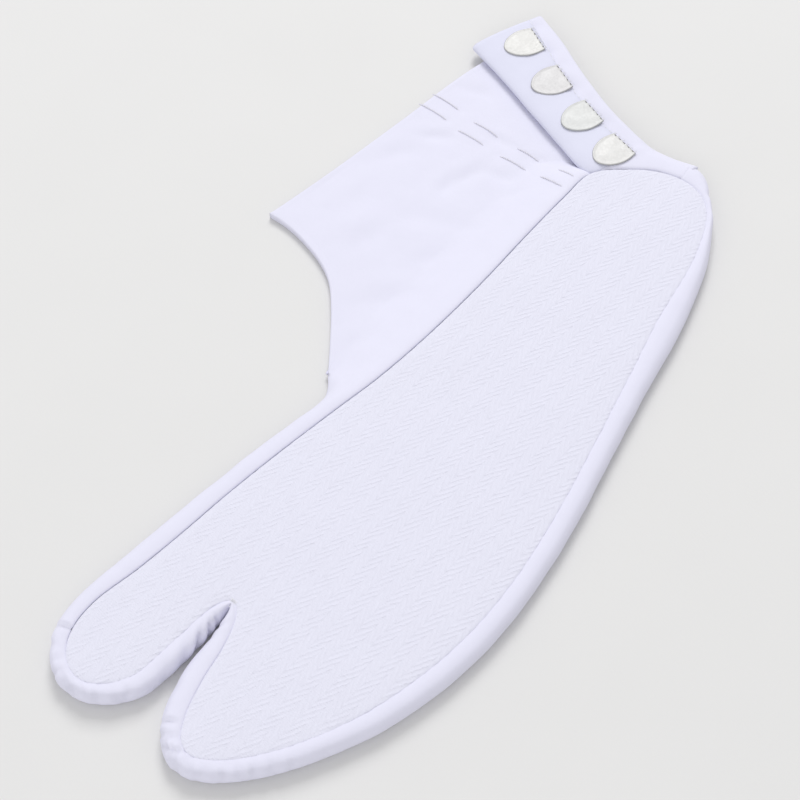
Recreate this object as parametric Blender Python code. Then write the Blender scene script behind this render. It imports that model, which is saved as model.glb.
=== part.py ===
"""One split-toe ankle sock of sewn cloth, lying flat with its sole up and its ankle pressed out to one side.

Lengths in this file are millimetres and are turned into metres as each mesh is made.
X runs across the foot, Y along it from the toes at -Y to the heel at +Y, and Z is up off the table.
The tables give places in one plan, and the last step moves everything so that the middle of the
whole outline stands over the origin.
"""

import math

import bpy
import numpy as np

MM = 0.001
UPPER_THICK = 1.1
SOLE_THICK = 2.2
SOLE_TOP = 6.6
SOLE_ROUND = 0.5
SEAM_GAP = 0.3
STATION_STEP = 4.0
TABLE_SHEET_Z = UPPER_THICK / 2
ANKLE_SHEET_Z = 1.5 * UPPER_THICK + SEAM_GAP
FACING_THICK = 1.0
FLAP_TOP_Z = 4.85
CLASP_THICK = 0.8
CLASP_EDGE = 0.2
THREAD_RADIUS = 0.45
THREAD_BOW = 0.35

# The sole's seam, round the foot from the split between the toes, past the big toe, the ankle's
# side, the heel and the outer side, and back. reach is how far the upper bulges out beyond it.
SOLE_SEAM = (
    # x, y, reach
    (11.0, -97.0, 1.6),
    (8.0, -101.5, 3.4),
    (7.1, -110.0, 4.7),
    (6.5, -120.0, 5.1),
    (5.3, -130.0, 5.0),
    (0.4, -137.2, 4.4),
    (-6.0, -140.3, 4.0),
    (-12.6, -138.0, 4.5),
    (-17.2, -131.4, 5.2),
    (-18.5, -121.0, 5.6),
    (-16.2, -106.0, 6.6),
    (-14.6, -90.0, 6.9),
    (-13.2, -72.0, 6.2),
    (-10.9, -52.0, 5.6),
    (-8.2, -33.0, 5.2),
    (-5.4, -14.0, 5.2),
    (-3.8, 8.0, 5.2),
    (-3.4, 32.0, 5.2),
    (-4.0, 56.0, 5.2),
    (-4.1, 76.0, 5.2),
    (-1.0, 88.5, 5.2),
    (5.0, 98.0, 5.2),
    (13.0, 104.0, 7.0),
    (22.5, 106.5, 9.6),
    (30.5, 103.8, 6.4),
    (36.4, 96.0, 5.4),
    (41.4, 78.0, 5.6),
    (46.8, 56.0, 5.9),
    (52.6, 32.0, 5.9),
    (58.2, 7.0, 5.8),
    (63.4, -18.0, 5.8),
    (67.0, -44.0, 5.7),
    (66.8, -68.0, 5.8),
    (62.2, -92.0, 5.5),
    (54.2, -112.0, 5.0),
    (44.0, -127.6, 4.8),
    (34.6, -135.7, 4.6),
    (28.2, -135.6, 4.8),
    (23.6, -129.4, 5.0),
    (20.2, -119.0, 5.0),
    (18.1, -109.0, 4.2),
    (15.0, -100.6, 3.3),
)
MEDIAL_RUN = (1.1, 19.7)
LATERAL_RUN = (23.0, 40.9)
ROLL_ENDS = 13.55
SLOPE_STARTS = 14.47

# The upper's way from the sole's seam where it rolls under the foot: out is a share of the reach.
ROLL = (
    # out, z
    (0.06, 6.05),
    (0.36, 6.18),
    (0.68, 5.75),
    (0.90, 4.80),
    (1.00, 3.50),
    (0.97, 2.20),
    (0.84, 1.20),
    (0.64, 0.66),
    (0.40, 0.55),
)
# The upper's way from the sole's seam where it lies down flat into the ankle: out is in millimetres.
SLOPE = (
    # out, z
    (0.3, 6.05),
    (2.2, 6.00),
    (4.2, 5.45),
    (6.2, 4.55),
    (8.2, 3.55),
    (10.0, 2.75),
    (11.6, 2.25),
    (12.6, 2.02),
    (13.2, 1.95),
)
# The seam up the front of the ankle, from the instep to the corner of the top hem.
FRONT_SEAM = (
    # x, y
    (-21.4, -21.2),
    (-27.0, -13.0),
    (-34.6, -3.6),
    (-42.4, 4.2),
    (-50.6, 8.6),
    (-60.6, 11.4),
    (-68.0, 12.4),
    (-74.8, 12.3),
)
TOP_HEM = (
    # x, y
    (-74.8, 12.3),
    (-71.2, 38.0),
    (-67.6, 70.0),
    (-64.8, 98.0),
    (-61.0, 119.0),
)
MEDIAL_BACK = (
    # x, y
    (-61.0, 119.0),
    (-30.0, 110.0),
    (-9.0, 101.0),
)
# The seam under the foot that joins the two halves of the upper, from the split to the instep.
INSTEP_SEAM = (
    # x, y
    (10.9, -95.0),
    (4.0, -80.0),
    (-3.0, -62.0),
    (-9.6, -45.0),
)
INSTEP_TURN = (
    # x, y
    (-7.4, -34.0),
    (-7.2, -25.5),
    (-12.0, -22.5),
)
# The heel flap: fold is its rolled edge over the ankle, back is where it turns up from the table
# sheet, and sewn is how far in from back the facing's stitched edge lies.
FLAP = (
    # fold x, fold y, back x, back y, sewn
    (-68.1, 110.9, -59.4, 135.8, 4.2),
    (-52.4, 105.4, -47.2, 130.2, 4.8),
    (-36.4, 99.8, -33.2, 121.8, 4.4),
    (-20.0, 94.1, -17.4, 115.2, 4.2),
    (-3.8, 88.5, -2.6, 112.0, 5.2),
    (0.1, 93.0, 2.6, 111.6, 6.0),
    (4.0, 98.2, 7.8, 111.7, 6.6),
    (11.6, 104.3, 14.4, 112.8, 6.6),
    (19.2, 107.2, 20.2, 116.2, 6.6),
)
# The flap's way across, from the table sheet round its back fold, over, round the fold and back.
# from_back and from_fold are distances in from the two ends; a row gives one of the two.
FLAP_SECTION = (
    # from_back, from_fold, z
    (2.60, None, 0.55),
    (1.40, None, 0.70),
    (0.70, None, 1.30),
    (0.55, None, 2.05),
    (0.85, None, 2.80),
    (1.70, None, 3.30),
    (3.00, None, 3.38),
    (None, 2.60, 3.38),
    (None, 1.20, 3.50),
    (None, 0.58, 4.10),
    (None, 1.20, 4.72),
    (None, 2.60, FLAP_TOP_Z),
    (3.20, None, FLAP_TOP_Z),
    (1.40, None, FLAP_TOP_Z),
)
FLAP_STEPS = 3
FACING_RUN = (0.12, 5.3)
FACING_FROM_FOLD = 2.4

# Each clasp by the middle of its sewn edge and the turn of that edge in degrees.
CLASPS = (
    # name, x, y, turn
    ("clasp_1", -52.3, 126.0, -27.0),
    ("clasp_2", -34.8, 117.9, -24.0),
    ("clasp_3", -18.0, 111.6, -19.0),
    ("clasp_4", -1.8, 106.4, -14.0),
)
# Half of a clasp's outline: how wide it is each side at each depth from the sewn edge.
CLASP_HALF = (
    # depth, half width
    (0.0, 5.3),
    (2.0, 5.7),
    (4.2, 5.9),
    (6.4, 5.7),
    (8.4, 5.1),
    (10.2, 4.1),
    (11.6, 2.8),
    (12.5, 1.4),
)
CLASP_LENGTH = 12.8

# The two rows of thread loops beside the flap, each loop by its two ends.
LOOPS = (
    # name, start x, start y, end x, end y
    ("loop_back_1", -65.2, 86.2, -55.4, 86.2),
    ("loop_back_2", -48.5, 85.1, -37.9, 85.2),
    ("loop_back_3", -30.1, 85.3, -20.8, 85.6),
    ("loop_back_4", -13.2, 85.2, -6.6, 84.6),
    ("loop_front_1", -65.6, 79.8, -55.6, 80.0),
    ("loop_front_2", -50.2, 78.8, -39.2, 79.2),
    ("loop_front_3", -32.6, 79.0, -21.8, 79.5),
    ("loop_front_4", -16.2, 79.3, -7.0, 78.9),
)


def clear_scene():
    for old in list(bpy.data.objects):
        bpy.data.objects.remove(old, do_unlink=True)


def material(name, colour, roughness, metallic=0.0):
    made = bpy.data.materials.new(name)
    made.use_nodes = True
    shader = made.node_tree.nodes["Principled BSDF"]
    shader.inputs["Base Color"].default_value = (*colour, 1.0)
    shader.inputs["Roughness"].default_value = roughness
    shader.inputs["Metallic"].default_value = metallic
    return made


def node(name, points, faces, surface, parent, smooth=True):
    """An object from points in millimetres."""
    mesh = bpy.data.meshes.new(name)
    mesh.from_pydata([tuple(MM * c for c in p) for p in points], [], faces)
    mesh.materials.append(surface)
    for face in mesh.polygons:
        face.use_smooth = smooth
    made = bpy.data.objects.new(name, mesh)
    bpy.context.scene.collection.objects.link(made)
    made.parent = parent
    return made


def thicken(made, thick):
    """Cloth of this thickness about the middle surface."""
    solid = made.modifiers.new("cloth", "SOLIDIFY")
    solid.thickness = thick * MM
    solid.offset = 0.0
    solid.use_even_offset = True


def curve_at(rows, u, closed):
    """Every column of the table at u rows along it, on a smooth curve through the rows."""
    table = np.array(rows, float)
    count = len(table)
    i = min(int(math.floor(u)), count - (1 if closed else 2))
    t = u - i
    near = [i - 1, i, i + 1, i + 2]
    if closed:
        a, b, c, d = (table[k % count] for k in near)
    else:
        b, c = table[i], table[i + 1]
        a = table[i - 1] if i > 0 else 2 * b - c
        d = table[i + 2] if i + 2 < count else 2 * c - b
    return 0.5 * (
        2 * b
        + (c - a) * t
        + (2 * a - 5 * b + 4 * c - d) * t * t
        + (3 * b - a - 3 * c + d) * t ** 3
    )


def even_steps(rows, first, last, step, closed):
    """Places u from first to last, about step millimetres apart along the curve."""
    fine = np.linspace(first, last, 1200)
    plan = np.array([curve_at(rows, u, closed)[:2] for u in fine])
    run = np.concatenate([[0.0], np.cumsum(np.linalg.norm(np.diff(plan, axis=0), axis=1))])
    count = max(2, int(round(run[-1] / step)) + 1)
    return np.interp(np.linspace(0.0, run[-1], count), run, fine)


def smooth_line(rows, step):
    return [curve_at(rows, u, False)[:2] for u in even_steps(rows, 0, len(rows) - 1, step, False)]


def seam_at(u):
    """(place on the sole's seam, outward direction, reach)."""
    row = curve_at(SOLE_SEAM, u, True)
    ahead = curve_at(SOLE_SEAM, u + 0.02, True)[:2] - curve_at(SOLE_SEAM, u - 0.02, True)[:2]
    ahead /= np.linalg.norm(ahead)
    return row[:2], np.array([-ahead[1], ahead[0]]), row[2]


def ease(t):
    t = min(max(t, 0.0), 1.0)
    return t * t * (3 - 2 * t)


def border_section(u, slope):
    """Points from the sole's seam at u across the upper's border: slope 0 rolls it under, 1 lies it down."""
    place, outward, reach = seam_at(u)
    middle = reach - UPPER_THICK / 2
    section = []
    for (share, roll_z), (out, slope_z) in zip(ROLL, SLOPE):
        rolled = max(share * middle, SEAM_GAP)
        across = rolled + (out - rolled) * slope
        section.append((*(place + outward * across), roll_z + (slope_z - roll_z) * slope))
    return section


def grid_faces(rows, columns, start=0):
    return [
        (
            start + r * columns + c,
            start + r * columns + c + 1,
            start + (r + 1) * columns + c + 1,
            start + (r + 1) * columns + c,
        )
        for r in range(rows - 1)
        for c in range(columns - 1)
    ]


def beside(line, shift):
    """The line moved sideways by shift, to its left."""
    line = np.array(line)
    ahead = np.gradient(line, axis=0)
    ahead /= np.linalg.norm(ahead, axis=1)[:, None]
    return line + shift * np.stack([-ahead[:, 1], ahead[:, 0]], axis=1)


def flap_section(row):
    """Points across the flap in one of its rows."""
    fold, back = np.array(row[:2]), np.array(row[2:4])
    width = np.linalg.norm(fold - back)
    inward = (fold - back) / width
    section = []
    for from_back, from_fold, z in FLAP_SECTION:
        out = from_back if from_fold is None else width - from_fold
        section.append((*(back + inward * out), z))
    return section


def flap_rows(first, last, count):
    return [curve_at(FLAP, u, False) for u in np.linspace(first, last, count)]


def make_sole(surface, parent):
    steps = even_steps(SOLE_SEAM, 0, len(SOLE_SEAM), STATION_STEP, True)[:-1]
    outline = [seam_at(u)[0] for u in steps][::-1]
    count = len(outline)
    low = [(*p, SOLE_TOP - SOLE_THICK) for p in outline]
    high = [(*p, SOLE_TOP) for p in outline]
    sides = [(i, (i + 1) % count, count + (i + 1) % count, count + i) for i in range(count)]
    caps = [tuple(range(count))[::-1], tuple(range(count, 2 * count))]
    made = node("sole", low + high, sides + caps, surface, parent)
    rounding = made.modifiers.new("turned edge", "BEVEL")
    rounding.width = SOLE_ROUND * MM
    rounding.segments = 2
    rounding.limit_method = "ANGLE"
    rounding.angle_limit = math.radians(60)


def make_upper_medial(surface, parent):
    """The big toe's side: rolled under the foot, and laid out flat over the ankle."""
    steps = even_steps(SOLE_SEAM, *MEDIAL_RUN, STATION_STEP, True)
    points, columns = [], len(ROLL)
    for u in steps:
        points += border_section(u, ease((u - ROLL_ENDS) / (SLOPE_STARTS - ROLL_ENDS)))
    faces = grid_faces(len(steps), columns)
    ends = [r * columns + columns - 1 for r in range(len(steps))]
    under = [i for i, u in zip(ends, steps) if u <= ROLL_ENDS]
    ankle = [i for i, u in zip(ends, steps) if u >= SLOPE_STARTS]

    def add(line, z):
        points.extend((*p, z) for p in line)
        return list(range(len(points) - len(line), len(points)))

    seam = add(beside(smooth_line(INSTEP_SEAM, 8.0), SEAM_GAP / 2), TABLE_SHEET_Z)
    faces.append(tuple(seam + under[::-1]))
    back = add(smooth_line(MEDIAL_BACK, 12.0)[::-1], ANKLE_SHEET_Z)
    hem = add(smooth_line(TOP_HEM, 10.0)[-2::-1], ANKLE_SHEET_Z)
    front = add(smooth_line(FRONT_SEAM, 4.0)[-2::-1], ANKLE_SHEET_Z)
    faces.append(tuple((ankle + back + hem + front)[::-1]))
    thicken(node("upper_medial", points, [f[::-1] for f in faces], surface, parent), UPPER_THICK)


def make_upper_lateral(surface, parent):
    """The four toes' side: the sheet on the table, rolled up to the sole, with the heel flap."""
    steps = even_steps(SOLE_SEAM, *LATERAL_RUN, STATION_STEP, True)
    points, columns = [], len(ROLL)
    for u in steps:
        points += border_section(u, 0.0)
    faces = grid_faces(len(steps), columns)
    outline = [r * columns + columns - 1 for r in range(len(steps))]

    def add(line):
        points.extend((*p, TABLE_SHEET_Z) for p in line)
        return list(range(len(points) - len(line), len(points)))

    outline += add(beside(smooth_line(INSTEP_SEAM, 8.0), -SEAM_GAP / 2))
    outline += add(INSTEP_TURN)
    outline += add(smooth_line(FRONT_SEAM, 4.0))
    outline += add(smooth_line(TOP_HEM, 10.0)[1:])
    start = len(points)
    rows = flap_rows(0, len(FLAP) - 1, FLAP_STEPS * (len(FLAP) - 1) + 1)
    for row in rows:
        points += flap_section(row)
    flap = grid_faces(len(rows), len(FLAP_SECTION), start)
    outline += [start + r * len(FLAP_SECTION) for r in range(len(rows))]
    faces += [f[::-1] for f in flap] + [tuple(outline[::-1])]
    thicken(node("upper_lateral", points, [f[::-1] for f in faces], surface, parent), UPPER_THICK)


def make_facing(surface, parent):
    """The strip on the flap's upturned face, made from the flap's own rows, that the clasps are sewn to."""
    rows = flap_rows(*FACING_RUN, 16)
    z = FLAP_TOP_Z + UPPER_THICK / 2 + SEAM_GAP + FACING_THICK / 2
    points = []
    for row in rows:
        fold, back = np.array(row[:2]), np.array(row[2:4])
        width = np.linalg.norm(fold - back)
        inward = (fold - back) / width
        for out in np.linspace(row[4], width - FACING_FROM_FOLD, 4):
            points.append((*(back + inward * out), z))
    faces = [f[::-1] for f in grid_faces(len(rows), 4)]
    thicken(node("flap_facing", points, faces, surface, parent), FACING_THICK)
    return z + FACING_THICK / 2


def make_clasp(name, x, y, turn, on, surface, parent):
    """A flat half-oval plate that points away from its sewn edge."""
    half = list(CLASP_HALF)
    outline = [(w, -d) for d, w in half] + [(0.0, -CLASP_LENGTH)] + [(-w, -d) for d, w in half[::-1]]
    outline = outline[::-1]
    count = len(outline)
    low = [(*p, 0.0) for p in outline]
    high = [(*p, CLASP_THICK) for p in outline]
    sides = [(i, (i + 1) % count, count + (i + 1) % count, count + i) for i in range(count)]
    caps = [tuple(range(count))[::-1], tuple(range(count, 2 * count))]
    made = node(name, low + high, sides + caps, surface, parent)
    made.location = (x * MM, y * MM, (on + SEAM_GAP) * MM)
    made.rotation_euler = (0.0, 0.0, math.radians(turn))
    edge = made.modifiers.new("pressed edge", "BEVEL")
    edge.width = CLASP_EDGE * MM
    edge.segments = 2
    edge.limit_method = "ANGLE"
    edge.angle_limit = math.radians(50)


def ankle_height(x, y):
    """Height of the medial panel's middle surface beside the sole."""
    first, last = int(SLOPE_STARTS), int(MEDIAL_RUN[1]) + 1
    gaps = [np.hypot(*(curve_at(SOLE_SEAM, u, True)[:2] - (x, y))) for u in np.linspace(first, last, 120)]
    out, z = zip(*SLOPE)
    return float(np.interp(min(gaps), out, z))


def make_loop(name, start, end, surface, parent):
    """A straight thread along the panel's top, slightly bowed up, with filled ends."""
    curve = bpy.data.curves.new(name, "CURVE")
    curve.dimensions = "3D"
    curve.bevel_depth = THREAD_RADIUS * MM
    curve.bevel_resolution = 1
    curve.use_fill_caps = True
    line = curve.splines.new("POLY")
    count = 5
    line.points.add(count - 1)
    for i in range(count):
        t = i / (count - 1)
        x, y = (1 - t) * np.array(start) + t * np.array(end)
        clear = UPPER_THICK / 2 + SEAM_GAP + THREAD_RADIUS
        z = ankle_height(x, y) + clear + THREAD_BOW * 4 * t * (1 - t)
        line.points[i].co = (x * MM, y * MM, z * MM, 1.0)
    curve.materials.append(surface)
    made = bpy.data.objects.new(name, curve)
    bpy.context.scene.collection.objects.link(made)
    made.parent = parent


def centre_over_origin(parent):
    """Moves the whole sock so that its box stands on the origin, centred."""
    bpy.context.view_layer.update()
    graph = bpy.context.evaluated_depsgraph_get()
    low, high = np.full(3, np.inf), np.full(3, -np.inf)
    for made in parent.children:
        seen = made.evaluated_get(graph)
        mesh = seen.to_mesh()
        for vertex in mesh.vertices:
            place = np.array(seen.matrix_world @ vertex.co)
            low, high = np.minimum(low, place), np.maximum(high, place)
        seen.to_mesh_clear()
    parent.location = (-(low[0] + high[0]) / 2, -(low[1] + high[1]) / 2, -low[2])


def main():
    clear_scene()
    sock = bpy.data.objects.new("sock", None)
    bpy.context.scene.collection.objects.link(sock)
    upper = material("upper_cloth", (0.80, 0.82, 0.93), 0.85)
    sole = material("sole_cloth", (0.79, 0.81, 0.92), 0.90)
    facing = material("facing_cloth", (0.76, 0.78, 0.90), 0.80)
    metal = material("clasp_metal", (0.80, 0.80, 0.78), 0.28, 1.0)
    thread = material("thread", (0.82, 0.82, 0.88), 0.60)
    make_sole(sole, sock)
    make_upper_medial(upper, sock)
    make_upper_lateral(upper, sock)
    top = make_facing(facing, sock)
    for name, x, y, turn in CLASPS:
        make_clasp(name, x, y, turn, top, metal, sock)
    for name, start_x, start_y, end_x, end_y in LOOPS:
        make_loop(name, (start_x, start_y), (end_x, end_y), thread, sock)
    centre_over_origin(sock)


main()
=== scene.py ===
"""The looks of one split-toe sock of sewn cloth, lying with its sole up and its ankle laid out flat.

Lengths in the tables are millimetres in the same plan as the CAD part's, with the toes at -Y and
the heel at +Y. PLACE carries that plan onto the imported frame, by the sole's own corner there.
Every cloth is made by its outer face, and its thickness goes inwards from there.
"""

import math

import bmesh
import bpy
import numpy as np
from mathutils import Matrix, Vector
from mathutils.geometry import delaunay_2d_cdt


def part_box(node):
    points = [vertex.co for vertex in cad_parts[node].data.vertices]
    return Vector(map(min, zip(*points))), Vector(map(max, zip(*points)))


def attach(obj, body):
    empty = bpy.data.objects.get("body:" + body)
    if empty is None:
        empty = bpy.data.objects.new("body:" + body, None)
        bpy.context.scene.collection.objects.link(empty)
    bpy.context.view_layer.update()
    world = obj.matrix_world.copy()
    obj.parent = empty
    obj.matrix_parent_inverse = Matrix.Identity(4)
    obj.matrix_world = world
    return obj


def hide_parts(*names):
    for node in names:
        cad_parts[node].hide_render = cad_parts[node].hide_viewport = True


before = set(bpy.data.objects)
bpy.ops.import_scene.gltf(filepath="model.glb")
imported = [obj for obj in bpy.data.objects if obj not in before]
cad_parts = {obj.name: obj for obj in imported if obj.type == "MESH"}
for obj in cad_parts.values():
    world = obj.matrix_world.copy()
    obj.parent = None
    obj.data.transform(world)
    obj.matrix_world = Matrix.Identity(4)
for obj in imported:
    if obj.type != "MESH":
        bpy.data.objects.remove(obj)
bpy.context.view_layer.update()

MM = 0.001
# Thicknesses of the cloths, and the heights of the sole's top and of the ankle panel's face.
CLOTH = 0.9
SOLE_CLOTH = 2.0
FACING_CLOTH = 0.55
SOLE_TOP = 6.6
PANEL_TOP = 2.5

# The sole's seam, round the foot from the split between the toes, past the big toe, the ankle's
# side, the heel and the outer side, and back. reach is how far the upper bulges out beyond it,
# and ditch how deep the seam sinks there, from 0 to 1.
SOLE_SEAM = (
    # x, y, reach, ditch
    (11.0, -97.0, 1.6, 0.3),
    (8.0, -101.5, 3.4, 0.5),
    (7.1, -110.0, 4.7, 0.25),
    (6.5, -120.0, 5.1, 0.2),
    (5.3, -130.0, 5.0, 0.2),
    (0.4, -137.2, 4.4, 0.2),
    (-6.0, -140.3, 4.0, 0.25),
    (-12.6, -138.0, 4.5, 0.45),
    (-17.2, -131.4, 5.2, 0.9),
    (-18.5, -121.0, 5.6, 1.0),
    (-16.2, -106.0, 6.6, 1.0),
    (-14.6, -90.0, 6.9, 1.0),
    (-13.2, -72.0, 6.5, 1.0),
    (-10.9, -52.0, 6.4, 1.0),
    (-8.2, -33.0, 5.8, 1.0),
    (-5.4, -14.0, 5.2, 1.0),
    (-3.8, 8.0, 5.2, 1.0),
    (-3.4, 32.0, 5.2, 1.0),
    (-4.0, 56.0, 5.2, 1.0),
    (-4.1, 76.0, 5.2, 1.0),
    (-3.3, 89.4, 5.2, 0.6),
    (4.6, 98.2, 5.2, 0.7),
    (13.0, 104.0, 7.0, 0.7),
    (22.4, 106.4, 8.2, 0.6),
    (30.8, 104.2, 3.0, 0.5),
    (37.2, 96.6, 2.4, 0.25),
    (43.0, 79.4, 4.8, 0.25),
    (47.0, 56.0, 7.3, 0.25),
    (52.6, 32.0, 6.2, 0.3),
    (58.2, 7.0, 5.8, 0.35),
    (63.4, -18.0, 5.8, 0.35),
    (67.0, -44.0, 5.7, 0.35),
    (66.8, -68.0, 5.8, 0.35),
    (62.2, -92.0, 5.5, 0.3),
    (54.2, -112.0, 5.0, 0.25),
    (44.0, -127.6, 4.8, 0.2),
    (34.6, -135.7, 4.8, 0.2),
    (28.2, -135.6, 5.2, 0.35),
    (23.6, -129.4, 6.2, 0.6),
    (20.2, -119.0, 6.4, 0.7),
    (18.1, -109.0, 5.4, 0.7),
    (15.0, -100.6, 3.5, 0.5),
)
SEAM_COUNT = len(SOLE_SEAM)
# Places u on that seam, counted in its rows: the stretches of the two panels' borders, where the
# border stops rolling under the foot, and where it lies down flat into the ankle.
MEDIAL_RUN = (0.02, 20.3)
LATERAL_RUN = (22.8, 41.98)
ROLL_ENDS = 13.55
SLOPE_STARTS = 14.47

# The border's outer face from the seam, rolled under the foot. own and share add up to the way out,
# share by the reach.
ROLL = (
    # own, share, z
    (0.03, 0.00, 5.55),
    (0.07, 0.00, 6.05),
    (0.34, 0.02, 6.44),
    (0.50, 0.18, 6.66),
    (0.30, 0.42, 6.60),
    (0.12, 0.66, 6.20),
    (0.00, 0.85, 5.30),
    (0.00, 0.965, 4.20),
    (0.00, 1.00, 3.10),
    (0.00, 0.97, 2.05),
    (0.00, 0.88, 1.05),
    (0.00, 0.74, 0.38),
    (0.00, 0.58, 0.06),
    (0.00, 0.40, 0.00),
)
# The same face where it lies down into the ankle.
SLOPE = (
    # out, z
    (0.03, 5.55),
    (0.07, 6.05),
    (0.38, 6.44),
    (1.40, 6.62),
    (2.80, 6.42),
    (4.20, 5.92),
    (5.60, 5.25),
    (7.00, 4.52),
    (8.30, 3.88),
    (9.60, 3.32),
    (10.80, 2.92),
    (11.80, 2.66),
    (12.60, 2.53),
    (13.20, 2.50),
)
# How that face ends where it has no ankle to lie into: rolled down to the instep's edge.
SLOPE_EDGE = SLOPE[:9] + (
    (9.90, 3.20),
    (11.60, 2.82),
    (12.80, 2.45),
    (13.30, 1.70),
    (13.10, 0.50),
)
# Gathers in the border: the place u along the seam, how deep, how wide along the seam, where they
# are deepest from 0 at the seam to 1 under the foot, how long that way, and how much they slant.
GATHERS = (
    # u, depth, width, middle, length, slant
    (8.02, 0.94, 0.41, 0.30, 0.20, 0.0),
    (7.45, 0.38, 0.84, 0.45, 0.22, 0.8),
    (7.00, 0.45, 0.63, 0.42, 0.20, -0.6),
    (6.62, 0.60, 0.56, 0.45, 0.22, 0.5),
    (6.25, 0.75, 0.59, 0.44, 0.24, -0.4),
    (5.82, 0.68, 0.52, 0.48, 0.22, 0.6),
    (5.48, 0.51, 0.49, 0.40, 0.18, -0.8),
    (5.12, 0.78, 0.59, 0.46, 0.24, 0.3),
    (4.66, 0.69, 0.56, 0.45, 0.22, -0.5),
    (4.30, 0.60, 0.63, 0.48, 0.22, 0.8),
    (3.86, 0.39, 0.84, 0.46, 0.24, -0.8),
    (3.30, 0.31, 1.76, 0.50, 0.24, 0.8),
    (2.42, 0.77, 2.42, 0.45, 0.26, 1.6),
    (1.86, 1.19, 1.43, 0.50, 0.28, 2.0),
    (1.46, 1.02, 0.99, 0.48, 0.26, 1.4),
    (1.16, 0.77, 0.66, 0.45, 0.25, 0.8),
    (9.70, 0.18, 1.60, 0.40, 0.20, 0.0),
    (40.72, 0.40, 0.90, 0.45, 0.25, -0.8),
    (40.30, 0.22, 1.20, 0.50, 0.25, -0.8),
    (38.60, 0.16, 1.60, 0.45, 0.20, 0.4),
    (37.76, 0.94, 0.34, 0.34, 0.20, 0.3),
    (37.34, 0.75, 0.56, 0.42, 0.22, 0.6),
    (36.94, 0.94, 0.41, 0.34, 0.20, 1.4),
    (36.62, 0.60, 0.49, 0.45, 0.20, -0.6),
    (36.36, 0.75, 0.52, 0.45, 0.22, 0.4),
    (36.06, 0.60, 0.49, 0.46, 0.22, -0.5),
    (35.84, 0.69, 0.49, 0.45, 0.20, 0.5),
    (35.60, 0.51, 0.56, 0.44, 0.22, -0.3),
    (35.40, 0.66, 0.56, 0.46, 0.22, 0.5),
    (35.16, 0.51, 0.56, 0.45, 0.20, -0.5),
    (34.92, 0.57, 0.63, 0.45, 0.22, 0.4),
    (34.66, 0.39, 0.70, 0.44, 0.22, -0.5),
    (34.36, 0.33, 0.84, 0.45, 0.22, 0.5),
    (33.90, 0.16, 1.60, 0.46, 0.24, 0.5),
    (24.50, 0.22, 1.40, 0.42, 0.24, 0.4),
    (23.90, 0.28, 1.10, 0.45, 0.24, -0.5),
)
# The seam up the front of the ankle, from the instep to the corner of the top hem.
FRONT_SEAM = (
    # x, y
    (-19.7, -22.2),
    (-26.6, -13.3),
    (-34.6, -3.6),
    (-42.4, 4.2),
    (-50.6, 8.6),
    (-60.6, 11.4),
    (-68.0, 12.4),
    (-74.8, 12.3),
)
TOP_HEM = (
    # x, y
    (-74.8, 12.3),
    (-71.2, 38.0),
    (-67.6, 70.0),
    (-64.8, 98.0),
    (-61.0, 119.0),
)
MEDIAL_BACK = (
    # x, y
    (-61.0, 119.0),
    (-30.0, 110.0),
    (-9.0, 101.0),
)
INSTEP_SEAM = (
    # x, y
    (10.9, -95.0),
    (4.0, -80.0),
    (-3.0, -62.0),
    (-9.6, -45.0),
)
INSTEP_TURN = (
    # x, y
    (-7.4, -34.0),
    (-7.2, -25.5),
    (-12.0, -22.5),
)
# The lips of the front seam and the top hem, the medial panel's from above and the table sheet's
# from below: each row is how far in from the edge, and its height.
UPPER_LIP = (
    # in, z
    (0.00, 1.40),
    (-0.06, 1.85),
    (0.10, 2.26),
    (0.42, 2.50),
    (0.95, 2.53),
    (1.60, 2.52),
    (2.20, 2.49),
    (3.00, 2.50),
)
LOWER_LIP = (
    # in, z
    (0.00, 1.25),
    (-0.04, 0.85),
    (0.06, 0.42),
    (0.36, 0.12),
    (0.90, 0.00),
    (1.80, 0.00),
)
# Soft troughs and rises of the ankle panel.
DIMPLES = (
    # x, y, long radius, short radius, turn in degrees, height
    (-57.0, 96.0, 6.0, 2.4, 20.0, -0.51),
    (-54.0, 72.0, 6.5, 2.0, 35.0, -0.58),
    (-60.0, 57.0, 9.0, 3.2, 60.0, -0.51),
    (-36.5, 84.0, 4.6, 1.8, 10.0, -0.58),
    (-35.0, 66.0, 7.0, 2.4, 75.0, -0.71),
    (-38.0, 58.0, 5.0, 2.2, 105.0, -0.58),
    (-27.0, 72.0, 6.0, 2.2, 15.0, -0.51),
    (-17.0, 70.0, 6.0, 2.4, 60.0, -0.58),
    (-21.0, 86.0, 5.0, 2.0, 20.0, -0.48),
    (-30.0, 45.0, 12.0, 4.0, 20.0, -0.44),
    (-50.0, 30.0, 14.0, 5.0, 60.0, 0.37),
    (-44.0, 24.0, 8.0, 3.6, 80.0, -0.44),
    (-24.0, 10.0, 9.0, 3.4, 50.0, -0.51),
    (-18.0, -6.0, 8.0, 3.0, 60.0, -0.44),
    (-36.0, 34.0, 8.0, 4.0, 30.0, 0.34),
    (-62.0, 36.0, 10.0, 4.4, 80.0, 0.34),
    (-24.0, 30.0, 7.0, 3.0, 70.0, -0.37),
)

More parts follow.
